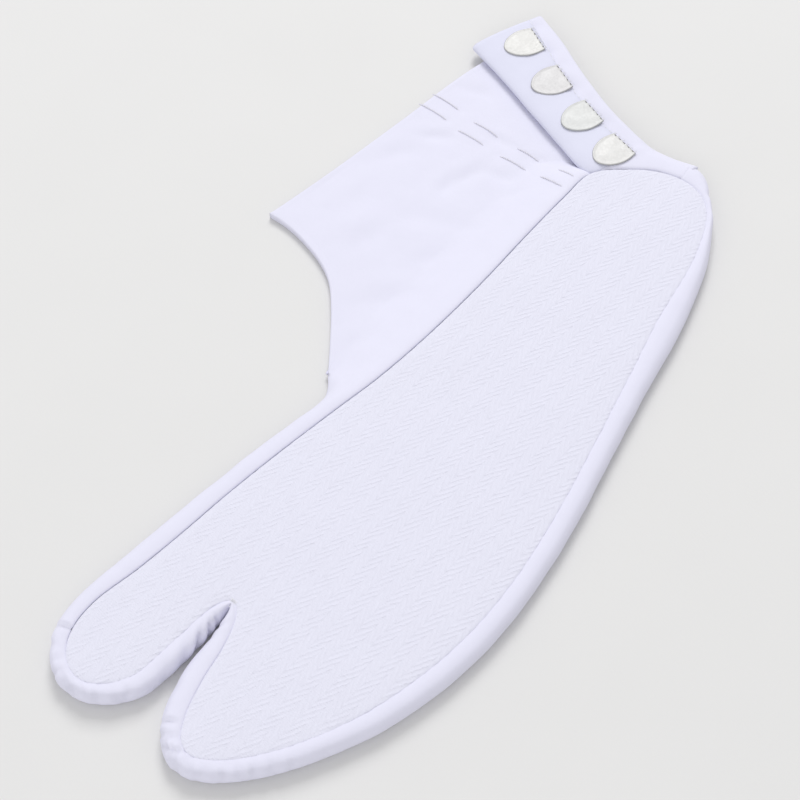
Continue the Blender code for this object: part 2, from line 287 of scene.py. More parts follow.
# The heel flap: fold is its rolled edge over the ankle, back is where it turns up from the table
# sheet, and sewn is how far in from back the facing's stitched edge lies.
FLAP = (
    # fold x, fold y, back x, back y, sewn
    (-68.9, 109.9, -58.9, 136.6, 4.6),
    (-52.6, 105.2, -46.6, 131.6, 6.2),
    (-36.4, 99.6, -32.2, 124.2, 6.8),
    (-20.4, 94.2, -16.4, 117.4, 6.4),
    (-5.0, 89.6, -2.3, 113.2, 6.3),
    (-0.1, 94.7, 3.0, 112.4, 6.4),
    (4.3, 98.4, 8.0, 112.2, 6.6),
    (11.8, 103.7, 14.6, 113.2, 6.6),
    (21.4, 106.5, 21.8, 115.3, 6.6),
)
# The flap's outer face across: off the table, round its back, over, round inside the fold and back.
# Rows beside a long gap stand far apart, so that the curve through them never turns back on itself.
FLAP_SECTION = (
    # from_back, from_fold, z
    (2.80, None, 0.00),
    (1.50, None, 0.04),
    (0.62, None, 0.40),
    (0.16, None, 1.20),
    (0.10, None, 2.20),
    (0.40, None, 3.10),
    (1.10, None, 3.70),
    (2.20, None, 3.92),
    (6.20, None, 3.92),
    (None, 5.00, 3.96),
    (None, 3.20, 4.26),
    (None, 2.30, 4.42),
    (None, 2.02, 4.60),
    (None, 2.30, 4.78),
    (None, 3.40, 4.90),
    (8.60, None, 5.02),
    (4.40, None, 5.08),
    (2.00, None, 5.00),
    (1.20, None, 4.92),
    (0.70, None, 4.70),
    (0.42, None, 4.38),
)
# The same face at the heel, where the fold is sewn into the sole's seam.
HEEL_SECTION = FLAP_SECTION[:5] + (
    (0.40, None, 2.90),
    (1.10, None, 3.30),
    (2.20, None, 3.45),
    (3.60, None, 3.60),
    (None, 3.40, 3.80),
    (None, 2.20, 3.95),
    (None, 1.30, 4.30),
    (None, 0.80, 4.80),
    (None, 0.90, 5.28),
    (None, 1.60, 5.60),
    (5.60, None, 5.62),
    (3.60, None, 5.34),
    (2.00, None, 4.78),
    (1.20, None, 4.36),
    (0.70, None, 3.98),
    (0.40, None, 3.60),
)
# Between these rows of FLAP the first section turns into the second.
HEEL_JOIN = (4.3, 5.2)
# Puckers in the flap's margin at each clasp: how far along its sewn edge, and how high.
PUCKERS = (
    (-6.4, -0.28),
    (6.4, -0.34),
    (0.0, 0.16),
)
PUCKER_BEHIND = 2.4
PUCKER_RADIUS = 2.2
UPPER_LAYER = 4.6
# The facing's visible face: from its stitched edge over the flap's top and round the fold.
FACING_SECTION = (
    # from_sewn, from_fold, z
    (0.06, None, 5.50),
    (0.05, None, 6.05),
    (0.30, None, 6.46),
    (0.85, None, 6.56),
    (1.60, None, 6.46),
    (4.00, None, 6.72),
    (None, 8.00, 6.62),
    (None, 4.60, 6.40),
    (None, 2.60, 6.06),
    (None, 1.20, 5.62),
    (None, 0.32, 5.10),
    (None, 0.02, 4.45),
    (None, 0.24, 3.85),
    (None, 0.95, 3.22),
    (None, 2.00, 2.88),
    (None, 3.20, 2.80),
)
# The rows of FLAP that the facing runs between, and how much of each end is rounded down.
FACING_RUN = (-0.05, 5.02)
FACING_ENDS = (0.14, 0.30)
STITCH_LINE = 8
STITCH = 1.7
STITCH_PITCH = 2.3

# Each clasp by the middle of its sewn edge, the turn of that edge and its tilts, in degrees.
CLASPS = (
    # name, x, y, turn, tilt along the edge, tilt across it
    ("clasp_1", -52.3, 126.0, -27.0, 1.0, 0.4),
    ("clasp_2", -34.8, 117.9, -24.0, -0.6, 0.9),
    ("clasp_3", -18.0, 111.6, -19.0, 0.4, 1.0),
    ("clasp_4", -1.8, 106.4, -14.0, 0.8, 0.2),
)
CLASP_HALF = (
    # depth, half width
    (0.0, 5.5),
    (2.0, 5.9),
    (4.2, 6.1),
    (6.4, 5.9),
    (8.4, 5.2),
    (10.2, 4.2),
    (11.6, 2.8),
    (12.5, 1.4),
    (12.8, 0.0),
)
# The plate's face from its underside's edge, up and over its rim, towards the middle.
CLASP_PROFILE = (
    # inset, z
    (0.10, 0.06),
    (0.00, 0.14),
    (0.00, 0.44),
    (0.10, 0.60),
    (0.30, 0.68),
    (0.55, 0.66),
    (0.85, 0.58),
    (1.60, 0.60),
    (3.00, 0.68),
    (4.40, 0.73),
)
CLASP_MIDDLE = (0.0, -5.6, 0.75)
CLASP_FOOT = 6.57
SLOT_COUNT, SLOT_PITCH, SLOT_SIDES = 5, 2.15, 16
THREAD_COUNT, THREAD_PITCH = 6, 2.0

# The two rows of thread loops beside the flap, each loop by its two ends.
LOOPS = (
    # name, start x, start y, end x, end y
    ("loop_back_1", -66.9, 86.2, -55.4, 86.2),
    ("loop_back_2", -48.5, 85.1, -37.9, 85.2),
    ("loop_back_3", -30.1, 85.3, -20.8, 85.6),
    ("loop_back_4", -13.2, 85.2, -6.6, 84.6),
    ("loop_front_1", -67.6, 79.8, -55.6, 80.0),
    ("loop_front_2", -50.2, 78.8, -39.2, 79.2),
    ("loop_front_3", -32.6, 79.0, -21.8, 79.5),
    ("loop_front_4", -16.2, 79.3, -7.0, 78.9),
)

# Which way the camera faces, how far down it looks, and where it is, in metres.
AZIMUTH = math.radians(39.7)
ELEVATION = math.radians(58.0)
CAMERA_AT = (0.1663, -0.2067, 0.4092)


# ---- curves and small sums


def curve_at(rows, u, closed=False):
    """Every column of the table at the places u, on a smooth curve through its rows."""
    table = np.array(rows, float)
    count = len(table)
    u = np.atleast_1d(np.asarray(u, float))
    if closed:
        i = np.floor(u).astype(int)
        a, b, c, d = (table[(i + k) % count] for k in (-1, 0, 1, 2))
    else:
        ends = np.vstack([2 * table[0] - table[1], table, 2 * table[-1] - table[-2]])
        i = np.clip(np.floor(u).astype(int), 0, count - 2)
        a, b, c, d = (ends[i + k] for k in (0, 1, 2, 3))
    t = (u - i)[:, None]
    return 0.5 * (
        2 * b
        + (c - a) * t
        + (2 * a - 5 * b + 4 * c - d) * t * t
        + (3 * b - a - 3 * c + d) * t ** 3
    )


def run_along(line):
    """The distance from the line's start to each of its points."""
    return np.concatenate([[0.0], np.cumsum(np.linalg.norm(np.diff(line, axis=0), axis=1))])


def even_steps(rows, first, last, step, closed=False):
    """Places from first to last, about step millimetres apart along the curve."""
    fine = np.linspace(first, last, 4000)
    run = run_along(curve_at(rows, fine, closed)[:, :2])
    count = max(3, int(round(run[-1] / step)) + 1)
    return np.interp(np.linspace(0.0, run[-1], count), run, fine)


def smooth_line(rows, step):
    """A smooth line in plan through the rows, with a point about every step millimetres."""
    return curve_at(rows, even_steps(rows, 0, len(rows) - 1, step))[:, :2]


def seam_at(u):
    """Places on the sole's seam, their outward directions, reaches and ditches."""
    rows = curve_at(SOLE_SEAM, u, True)
    ahead = curve_at(SOLE_SEAM, np.asarray(u) + 0.02, True)[:, :2]
    ahead = ahead - curve_at(SOLE_SEAM, np.asarray(u) - 0.02, True)[:, :2]
    ahead /= np.linalg.norm(ahead, axis=1)[:, None]
    return rows[:, :2], np.stack([-ahead[:, 1], ahead[:, 0]], axis=1), rows[:, 2], rows[:, 3]


def ease(t):
    t = np.clip(t, 0.0, 1.0)
    return t * t * (3 - 2 * t)


def bell(t):
    return np.exp(-t * t)


def drift(x, y, length, seed):
    """Smooth unevenness, about -1 to 1, that changes over about length millimetres."""
    rng = np.random.RandomState(seed)
    total = np.zeros(np.broadcast(x, y).shape)
    for _ in range(9):
        turn, phase = rng.uniform(0, 2 * math.pi, 2)
        pace = 2 * math.pi / (length * rng.uniform(0.7, 1.9))
        total += np.sin(pace * (x * math.cos(turn) + y * math.sin(turn)) + phase)
    return total / 4.2


def side_normals(line):
    """Mitred directions to the left of each point of an open line in plan."""
    step = np.diff(line, axis=0)
    before, after = np.vstack([step[:1], step]), np.vstack([step, step[-1:]])
    before = before / np.linalg.norm(before, axis=1)[:, None]
    after = after / np.linalg.norm(after, axis=1)[:, None]
    middle = before + after
    middle /= np.linalg.norm(middle, axis=1)[:, None]
    scale = 1 / np.maximum(np.sum(middle * after, axis=1), 0.5)
    return np.stack([-middle[:, 1], middle[:, 0]], axis=1) * scale[:, None]


def inside(points, outline):
    """Which points lie inside the outline."""
    x, y = points[:, 0], points[:, 1]
    result = np.zeros(len(points), bool)
    for (ax, ay), (bx, by) in zip(outline, np.roll(outline, -1, 0)):
        if ay == by:
            continue
        crosses = (ay > y) != (by > y)
        result ^= crosses & (x < (bx - ax) * (y - ay) / (by - ay) + ax)
    return result


def nearest(points, line):
    """The distance from each point to the nearest of line's points, and which that is."""
    gaps, which = [], []
    for part in np.array_split(points, max(1, len(points) // 1500)):
        apart = np.linalg.norm(part[:, None, :] - line[None, :, :], axis=2)
        which.append(apart.argmin(axis=1))
        gaps.append(apart.min(axis=1))
    return np.concatenate(gaps), np.concatenate(which)


# ---- meshes


SEAM_FINE = np.linspace(0, SEAM_COUNT, 1600, endpoint=False)
SEAM_LINE = seam_at(SEAM_FINE)[0]
RUN_FINE = run_along(SEAM_LINE)
SOLE_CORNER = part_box("sole")[0]
PLACE = np.array([
    SOLE_CORNER.x - MM * SEAM_LINE[:, 0].min(),
    SOLE_CORNER.y - MM * SEAM_LINE[:, 1].min(),
    0.0,
])


def add_object(name, data):
    made = bpy.data.objects.new(name, data)
    bpy.context.scene.collection.objects.link(made)
    return made


class Cloth:
    """Points in millimetres and faces, gathered up to make one mesh."""

    def __init__(self):
        self.points, self.faces = [], []

    def add(self, points):
        start = len(self.points)
        self.points.extend(tuple(float(c) for c in p) for p in points)
        return list(range(start, len(self.points)))

    def grid(self, points, flip=False):
        """points is rows x columns x 3; gives back the indices in the same shape."""
        rows, columns = points.shape[:2]
        index = np.array(self.add(points.reshape(-1, 3))).reshape(rows, columns)
        self.join(index, flip)
        return index

    def join(self, index, flip=False):
        """Faces between neighbouring rows and columns of indices."""
        rows, columns = index.shape
        for r in range(rows - 1):
            for c in range(columns - 1):
                face = (index[r, c], index[r, c + 1], index[r + 1, c + 1], index[r + 1, c])
                self.faces.append(face[::-1] if flip else face)

    def fill(self, outline, step, height, up=True):
        """Triangles over the plan inside the outline's points, with more points every step."""
        rim = np.array([self.points[i] for i in outline])[:, :2]
        low, high = rim.min(0), rim.max(0)
        across = np.arange(low[0], high[0], step)
        along = np.arange(low[1], high[1], step * 0.866)
        lattice = np.array([
            (x + (step / 2 if k % 2 else 0.0), y) for k, y in enumerate(along) for x in across
        ])
        inner = lattice[inside(lattice, rim)]
        closed = np.vstack([rim, rim[:1]])
        dense = np.vstack([
            np.linspace(a, b, max(2, int(np.linalg.norm(b - a) / (0.4 * step)) + 1))
            for a, b in zip(closed[:-1], closed[1:])
        ])
        inner = inner[nearest(inner, dense)[0] > 0.62 * step]
        ids = list(outline) + self.add(
            np.column_stack([inner, height(inner[:, 0], inner[:, 1])])
        )
        flat = [Vector(p) for p in np.vstack([rim, inner])]
        made = delaunay_2d_cdt(flat, [], [list(range(len(rim)))], 1, 1e-6)
        spots = []
        for (x, y), found in zip(made[0], made[3]):
            spots += [ids[found[0]]] if found else self.add([(x, y, float(height(x, y)))])
        for face in made[2]:
            a, b, c = (spots[i] for i in face)
            (ax, ay), (bx, by), (cx, cy) = (self.points[i][:2] for i in (a, b, c))
            turned = (bx - ax) * (cy - ay) - (by - ay) * (cx - ax) > 0
            self.faces.append((a, b, c) if turned == up else (c, b, a))

    def piece(self, name, surface, thick=None):
        """The finished object: a sheet that grows inwards by thick, or a closed form without it."""
        mesh = bpy.data.meshes.new(name)
        spots = np.array(self.points) * MM + PLACE
        mesh.from_pydata(spots.tolist(), [], [tuple(int(i) for i in f) for f in self.faces])
        mesh.materials.append(surface)
        made = add_object(name, mesh)
        body = bmesh.new()
        body.from_mesh(mesh)
        bmesh.ops.remove_doubles(body, verts=body.verts, dist=0.00001)
        loose = [v for v in body.verts if not v.link_faces]
        bmesh.ops.delete(body, geom=loose, context="VERTS")
        if thick is None:
            bmesh.ops.recalc_face_normals(body, faces=body.faces)
        body.to_mesh(mesh)
        body.free()
        for face in mesh.polygons:
            face.use_smooth = True
        if thick:
            solid = made.modifiers.new("cloth", "SOLIDIFY")
            solid.thickness = thick * MM
            solid.offset = -1.0
            solid.use_even_offset = False
        return made


def tube(cloth, path, radius, sides=8):
    """A round thread along the path's points, with closed ends."""
    path = np.asarray(path, float)
    radius = np.broadcast_to(radius, (len(path),))
    ahead = np.gradient(path, axis=0)
    ahead /= np.linalg.norm(ahead, axis=1)[:, None]
    up = np.array([0.0, 0.0, 1.0])
    side = np.cross(ahead, up)
    bad = np.linalg.norm(side, axis=1) < 1e-6
    side[bad] = (1.0, 0.0, 0.0)
    side /= np.linalg.norm(side, axis=1)[:, None]
    over = np.cross(side, ahead)
    turns = np.linspace(0, 2 * math.pi, sides, endpoint=False)
    rings = (
        path[:, None, :]
        + radius[:, None, None] * np.cos(turns)[None, :, None] * side[:, None, :]
        + radius[:, None, None] * np.sin(turns)[None, :, None] * over[:, None, :]
    )
    index = np.array(cloth.add(rings.reshape(-1, 3))).reshape(len(path), sides)
    cloth.join(np.column_stack([index, index[:, :1]]))
    cloth.faces.append(tuple(index[0]))
    cloth.faces.append(tuple(index[-1][::-1]))


# ---- materials


def shader_of(name, colour, roughness, metallic=0.0, sheen=0.0, specular=0.5):
    """A new material, its node tree and its shader."""
    made = bpy.data.materials.new(name)
    made.use_nodes = True
    shader = made.node_tree.nodes["Principled BSDF"]
    shader.inputs["Base Color"].default_value = (*colour, 1.0)
    shader.inputs["Roughness"].default_value = roughness
    shader.inputs["Metallic"].default_value = metallic
    shader.inputs["Sheen Weight"].default_value = sheen
    shader.inputs["Sheen Roughness"].default_value = 0.45
    shader.inputs["Specular IOR Level"].default_value = specular
    return made, made.node_tree, shader


class Graph:
    """Short ways to add the nodes that the materials share. Lengths come in millimetres."""

    def __init__(self, tree):
        self.tree = tree

    def node(self, kind, **settings):
        made = self.tree.nodes.new(kind)
        for name, value in settings.items():
            setattr(made, name, value)
        return made

    def link(self, source, target):
        self.tree.links.new(source, target)

    def places(self, turn=0.0):
        """The object's own coordinates in millimetres, turned about the vertical."""
        coords = self.node("ShaderNodeTexCoord")
        mapping = self.node("ShaderNodeMapping")
        mapping.inputs["Scale"].default_value = (1000.0, 1000.0, 1000.0)
        mapping.inputs["Rotation"].default_value = (0.0, 0.0, turn)
        self.link(coords.outputs["Object"], mapping.inputs["Vector"])
        return mapping.outputs["Vector"]

    def sum(self, operation, *values):
        made = self.node("ShaderNodeMath", operation=operation)
        for socket, value in zip(made.inputs, values):
            if isinstance(value, (int, float)):
                socket.default_value = value
            else:
                self.link(value, socket)
        return made.outputs[0]

    def noise(self, places, scale, detail=2.0, rough=0.5):
        made = self.node("ShaderNodeTexNoise")
        made.inputs["Scale"].default_value = scale
        made.inputs["Detail"].default_value = detail
        made.inputs["Roughness"].default_value = rough
        self.link(places, made.inputs["Vector"])
        return made.outputs[0]

    def blend(self, share, low, high):
        made = self.node("ShaderNodeMix", data_type="RGBA")
        self.link(share, made.inputs["Factor"])
        made.inputs["A"].default_value = (*low, 1.0)
        made.inputs["B"].default_value = (*high, 1.0)
        return made.outputs["Result"]

    def weave(self, spots, pitch, scale, detail, wander):
        """Waves of the two sets of threads, pitch millimetres apart and wandering a little."""
        parts = self.node("ShaderNodeSeparateXYZ")
        self.link(spots, parts.inputs[0])
        waver = self.sum("MULTIPLY", self.noise(spots, scale, detail), wander)
        pace = 2 * math.pi / pitch
        return [
            self.sum("SINE", self.sum("ADD", self.sum("MULTIPLY", way, pace), waver))
            for way in parts.outputs[:2]
        ]

    def tint(self, shader, share, colour, low, high):
        """The shader's colour, from low to high times the colour given, by share."""
        tones = [tuple(c * part for c in colour) for part in (low, high)]
        self.link(self.blend(share, *tones), shader.inputs["Base Color"])

    def bump(self, height, distance, strength, before=None):
        made = self.node("ShaderNodeBump")
        made.inputs["Distance"].default_value = distance
        made.inputs["Strength"].default_value = strength
        self.link(height, made.inputs["Height"])
        if before is not None:
            self.link(before, made.inputs["Normal"])
        return made.outputs["Normal"]


def plain_cloth(name, colour, weave=0.5, roughness=0.85, sheen=0.15):
    """Close plain weave: two sets of threads, with slubs and slight mottling."""
    made, tree, shader = shader_of(name, colour, roughness, sheen=sheen, specular=0.25)
    g = Graph(tree)
    spots = g.places(0.05)
    warp, weft = g.weave(spots, 0.46, 0.6, 1.0, 1.4)
    threads = g.sum("MULTIPLY", warp, weft)
    grain = g.noise(spots, 2.6, 3.0, 0.6)
    height = g.sum("ADD", g.sum("MULTIPLY", threads, 0.35), g.sum("MULTIPLY", grain, 1.0))
    soft = g.noise(spots, 0.16, 3.0, 0.55)
    first = g.bump(soft, 0.0006, 0.16)
    g.link(g.bump(height, 0.00006, weave, first), shader.inputs["Normal"])
    mottled = g.sum("ADD", g.sum("MULTIPLY", grain, 0.5), g.sum("MULTIPLY", soft, 0.5))
    g.tint(shader, mottled, colour, 0.972, 1.018)
    return made


def herringbone(name, colour):
    """Heavy twill in columns along the foot, its ribs turning back at each column's edge."""
    wide, rib_across, rib_along, strand_pitch = 3.0, 1.495, 3.02, 0.72
    made, tree, shader = shader_of(name, colour, 0.9, sheen=0.12, specular=0.2)
    g = Graph(tree)
    spots = g.places(math.radians(3.0))
    parts = g.node("ShaderNodeSeparateXYZ")
    g.link(spots, parts.inputs[0])
    waver = g.sum("MULTIPLY", g.sum("SUBTRACT", g.noise(spots, 0.12, 2.0), 0.5), 1.6)
    x = g.sum("ADD", parts.outputs[0], waver)
    y = g.sum("ADD", parts.outputs[1], waver)
    column = g.sum("PINGPONG", x, wide)
    turned = g.sum("GREATER_THAN", g.sum("MODULO", g.sum("ADD", x, 200 * wide), 2 * wide), wide)
    phase = g.sum("SUBTRACT", g.sum("DIVIDE", column, rib_across), g.sum("DIVIDE", y, rib_along))
    phase = g.sum("ADD", phase, g.sum("MULTIPLY", turned, 0.5))
    phase = g.sum("ADD", phase, g.sum("MULTIPLY", g.noise(spots, 0.9, 3.0, 0.6), 0.6))
    rib = g.sum("SINE", g.sum("MULTIPLY", phase, 2 * math.pi))
    rib = g.sum("MULTIPLY_ADD", rib, 0.5, 0.5)
    rib = g.sum("POWER", rib, 1.5)
    worn = g.sum("MULTIPLY_ADD", g.noise(spots, 0.30, 4.0, 0.7), 2.2, -0.25)
    rib = g.sum("MULTIPLY", rib, g.sum("MULTIPLY", worn, g.sum("MULTIPLY_ADD", turned, -0.5, 1.0)))
    strand = g.sum("SINE", g.sum("MULTIPLY", y, 2 * math.pi / strand_pitch))
    strand = g.sum("MULTIPLY_ADD", strand, 0.5, 0.5)
    edge = g.sum("ABSOLUTE", g.sum("SUBTRACT", column, wide / 2))
    edge = g.sum("MULTIPLY", g.sum("MAXIMUM", g.sum("SUBTRACT", edge, 1.25), 0.0), 2.0)
    grain = g.noise(spots, 2.4, 3.0, 0.7)
    height = g.sum("ADD", g.sum("MULTIPLY", rib, 1.0), g.sum("MULTIPLY", strand, 0.16))
    height = g.sum("ADD", height, g.sum("MULTIPLY", grain, 1.3))
    height = g.sum("SUBTRACT", height, g.sum("MULTIPLY", edge, 0.3))
    soft = g.noise(spots, 0.10, 3.0, 0.5)
    first = g.bump(soft, 0.0008, 0.18)
    g.link(g.bump(height, 0.00022, 0.60, first), shader.inputs["Normal"])
    # Painted shade: the colour follows the bump's height, darker in the ribs' hollows and at the
    # column edges, standing in for their occlusion; the soft noise adds mottling on top.
    shade = g.sum("ADD", g.sum("MULTIPLY", height, 0.35), g.sum("MULTIPLY", soft, 0.4))
    g.tint(shader, shade, colour, 0.96, 1.02)
    return made


def thread_stuff(name, colour):
    """Cotton thread with faint fibres."""
    made, tree, shader = shader_of(name, colour, 0.6, sheen=0.3, specular=0.4)
    g = Graph(tree)
    spots = g.places()
    fibre = g.noise(spots, 5.0, 3.0, 0.6)
    g.link(g.bump(fibre, 0.00001, 0.5), shader.inputs["Normal"])
    g.tint(shader, fibre, colour, 0.93, 1.03)
    return made


def plate_metal(name, colour, roughness, pebbled=1.0):
    """Pressed plate with a fine pebbled face and faint rubbing."""
    made, tree, shader = shader_of(name, colour, roughness, metallic=1.0)
    g = Graph(tree)
    spots = g.places()
    pebble = g.noise(spots, 1.6, 4.0, 0.65)
    rubbed = g.noise(spots, 0.35, 2.0, 0.5)
    g.link(g.bump(pebble, 0.00012, 0.8 * pebbled), shader.inputs["Normal"])
    rough = g.sum("MULTIPLY_ADD", g.sum("ADD", pebble, rubbed), 0.16, roughness - 0.16)
    g.link(rough, shader.inputs["Roughness"])
    g.tint(shader, rubbed, colour, 0.88, 1.10)
    return made


def floor_stuff(name, colour):
    """Pale cloth stretched over the table, with a fine open weave."""
    made, tree, shader = shader_of(name, colour, 0.9, specular=0.1)
    g = Graph(tree)
    spots = g.places(0.3)
    warp, weft = g.weave(spots, 1.1, 0.2, 2.0, 3.0)
    grain = g.noise(spots, 1.2, 3.0, 0.6)
    height = g.sum("ADD", g.sum("MULTIPLY", g.sum("ADD", warp, weft), 0.08), grain)
    soft = g.noise(spots, 0.02, 2.0, 0.5)
    first = g.bump(soft, 0.004, 0.12)
    g.link(g.bump(height, 0.00006, 0.16, first), shader.inputs["Normal"])
    shade = g.sum("ADD", g.sum("MULTIPLY", grain, 0.4), g.sum("MULTIPLY", soft, 0.6))
    g.tint(shader, shade, colour, 0.975, 1.02)
    return made


UPPER = plain_cloth("upper_broadcloth", (0.728, 0.724, 0.848))
FACING = plain_cloth("facing_sateen", (0.678, 0.684, 0.817), weave=0.35, roughness=0.7, sheen=0.2)
SOLE = herringbone("sole_twill", (0.748, 0.748, 0.858))
THREAD = thread_stuff("sewing_thread", (0.80, 0.80, 0.86))
# The loop cord is darker than the sewing thread: painted shade, so that the thin loops read grey like
# thread beside its own shadow line.
CORD = thread_stuff("loop_cord_painted_shade", (0.71, 0.70, 0.78))
METALS = (
    plate_metal("clasp_silver_bright", (0.566, 0.563, 0.554), 0.66, 1.0),
    plate_metal("clasp_silver_pebbled", (0.540, 0.535, 0.540), 0.66, 1.0),
    plate_metal("clasp_silver_smooth", (0.560, 0.565, 0.562), 0.68, 0.4),
    plate_metal("clasp_silver_warm", (0.562, 0.560, 0.555), 0.66, 0.6),
)
# Dark metal for the slot ovals: painted shade standing in for the shadowed depth of the sewing slots.
SLOT_SHADE_METAL = plate_metal("clasp_slot_painted_shade", (0.22, 0.21, 0.21), 0.5)
FLOOR = floor_stuff("table_linen", (0.715, 0.712, 0.710))


def settle(made, nodes=()):
    """Puts a finished piece on the body, in place of its CAD nodes."""
    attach(made, "root")
    if nodes:
        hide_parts(*nodes)
    return made


# ---- the sole


def sole_height(gap, u, x, y):
    """Top of the sole by the distance in from the seam and the seam's nearest place."""
    ditch = seam_at(u)[3]
    edge = (0.08 + 0.72 * ditch) * np.exp(-gap / 0.26)
    tucked = 0.16 * np.exp(-gap / 2.2)
    crown = 0.55 * (1 - np.exp(-gap / 11.0))
    pull = 0.055 * np.exp(-gap / 2.6) * np.sin(u * 31.0 + 2.0 * np.sin(u * 3.1))
    uneven = 0.16 * drift(x, y, 34.0, 5) * (1 - np.exp(-gap / 8.0))
    return SOLE_TOP + crown - edge - tucked + pull + uneven


# How far in from the seam the sole's rings of points lie, before its even filling begins.
SOLE_RINGS = (0.02, 0.18, 0.42, 0.80, 1.40)


def make_sole():
    cloth = Cloth()
    steps = even_steps(SOLE_SEAM, 0, SEAM_COUNT, 0.8, True)[:-1]
    place, outward, _, _ = seam_at(steps)
    points = []
    for gap in SOLE_RINGS:
        ring = place - outward * gap
        z = sole_height(np.full(len(steps), gap), steps, ring[:, 0], ring[:, 1])
        points.append(np.column_stack([ring, z]))
    index = cloth.grid(np.array(points), flip=True)
    cloth.join(np.column_stack([index[:, -1:], index[:, :1]]), True)

    def height(x, y):
        gap, which = nearest(np.column_stack([x, y]), SEAM_LINE)
        return sole_height(gap, SEAM_FINE[which], x, y)

    cloth.fill(index[-1].tolist(), 1.25, height)
    return settle(cloth.piece("sole_twill", SOLE, SOLE_CLOTH), ["sole"])


# ---- the upper


# Places along ROLL and SLOPE, closest together by the seam.
SECTION_STEPS = np.concatenate([
    np.linspace(0, 4, 13)[:-1],
    np.linspace(4, 10, 19)[:-1],
    np.linspace(10, len(ROLL) - 1, 7),
])


def spread(u, section_steps):
    """How much wider the slope is along the ankle than where the instep's edge leaves it."""
    along = ease((np.asarray(u) - SLOPE_STARTS) / 1.3) * (1 - ease((np.asarray(u) - 19.3) / 0.6))
    return 1 + 0.5 * along * ease((section_steps - 3.0) / 5.0)


def border(steps, slope):
    """Outer face of the upper's border, stations x section points x 3."""
    place, outward, reach, ditch = seam_at(steps)
    roll = curve_at(ROLL, SECTION_STEPS)
    laid, turned = curve_at(SLOPE, SECTION_STEPS), curve_at(SLOPE_EDGE, SECTION_STEPS)
    ends = np.where((slope > 0.999)[:, None, None], laid, turned)
    rolled = roll[None, :, 0] + roll[None, :, 1] * reach[:, None]
    rolled -= 0.5 * (1 - ditch)[:, None] * bell(SECTION_STEPS / 1.1)[None, :]
    across = rolled + (ends[:, :, 0] - rolled) * slope[:, None]
    z = roll[None, :, 2] + (ends[:, :, 1] - roll[None, :, 2]) * slope[:, None]
    z = z + (1 - ditch)[:, None] * np.clip(6.45 - z, 0, 0.6) * bell(SECTION_STEPS / 1.8)[None, :]
    share = SECTION_STEPS / SECTION_STEPS[-1]
    run = seam_run(steps)
    dent = np.zeros_like(z)
    for u, depth, width, middle, length, slant in GATHERS:
        off = run[:, None] - seam_run(u) - slant * 6.0 * (share[None, :] - 0.35)
        over = bell((share[None, :] - middle) / length)
        dent += depth * bell(off / width) * over
        dent -= 0.45 * depth * bell((off - 1.9 * width) / (1.5 * width)) * over
    wave = drift(run[:, None] + 0 * z, 9.0 * share[None, :] + 0 * z, 9.0, 11)
    dent += 0.10 * wave * np.sin(math.pi * share)[None, :] ** 0.6
    toes = bell((steps - 5.7) / 1.9) + bell((steps - 36.1) / 1.6)
    crumple = drift(run[:, None] + 0 * z, 7.0 * share[None, :] + 0 * z, 2.6, 41)
    dent += 0.42 * toes[:, None] * crumple * bell((share - 0.36) / 0.22)[None, :]
    dent *= np.minimum(1.0, reach[:, None] / 3.0)
    low = np.gradient(across, axis=1)
    rise = np.gradient(z, axis=1)
    size = np.maximum(np.hypot(low, rise), 1e-6)
    free = np.clip((z - 0.05) / 0.8, 0, 1)
    across = across + dent * rise / size * free
    z = np.maximum(z - dent * np.abs(low) / size * free, 0.0)
    spots = place[:, None, :] + outward[:, None, :] * across[:, :, None]
    return np.concatenate([spots, z[:, :, None]], axis=2)


def seam_run(u):
    """Millimetres along the seam at u."""
    return np.interp(u, SEAM_FINE, RUN_FINE)


def relief(x, y):
    """How far the ankle panel's face stands above or below its level."""
    total = 0.13 * drift(x, y, 26.0, 3) + 0.05 * drift(x, y, 9.0, 8)
    for dx, dy, long, short, turn, height in DIMPLES:
        a = math.radians(turn)
        along = (x - dx) * math.cos(a) + (y - dy) * math.sin(a)
        across = (y - dy) * math.cos(a) - (x - dx) * math.sin(a)
        total = total + height * bell(along / long) * bell(across / short)
        total = total - 0.3 * height * bell(along / long) * bell((across - 2.0 * short) / short)
    for _, ax, ay, bx, by in LOOPS:
        for px, py in ((ax, ay), (bx, by)):
            total = total - 0.26 * bell((x - px) / 1.5) * bell((y - py) / 1.2)
        middle = bell((x - (ax + bx) / 2) / (0.42 * abs(bx - ax))) * bell((y - (ay + by) / 2) / 1.6)
        total = total + 0.12 * middle
    return total


def lip(cloth, line, rows, flip, face=None):
    """A rolled edge along the line, which runs with the cloth on its right; gives its inner row."""
    normals = -side_normals(line)
    steps = np.linspace(0, len(rows) - 1, 2 * len(rows) - 1)
    section = curve_at(rows, steps)
    run = run_along(line)
    corner = np.linalg.norm(line - np.array(TOP_HEM[0]), axis=1)
    opened = np.minimum(0.03 + 0.97 * ease(run / 7.0), (0.7 * corner + 0.12) / rows[-1][0])
    points = np.zeros((len(line), len(steps), 3))
    inward = normals[:, None, :] * opened[:, None, None]
    points[:, :, :2] = line[:, None, :] + inward * section[None, :, 0, None]
    points[:, :, 2] = section[None, :, 1]
    if face is not None:
        share = ease(section[:, 0] / rows[-1][0])
        points[:, :, 2] += share[None, :] * face(points[:, :, 0], points[:, :, 1])
    return cloth.grid(points, flip)


def open_edge():
    """The front seam and the top hem as one line."""
    return np.vstack([smooth_line(FRONT_SEAM, 1.0), smooth_line(TOP_HEM, 1.4)[1:]])


def on_table(line):
    return np.column_stack([line, np.zeros(len(line))])


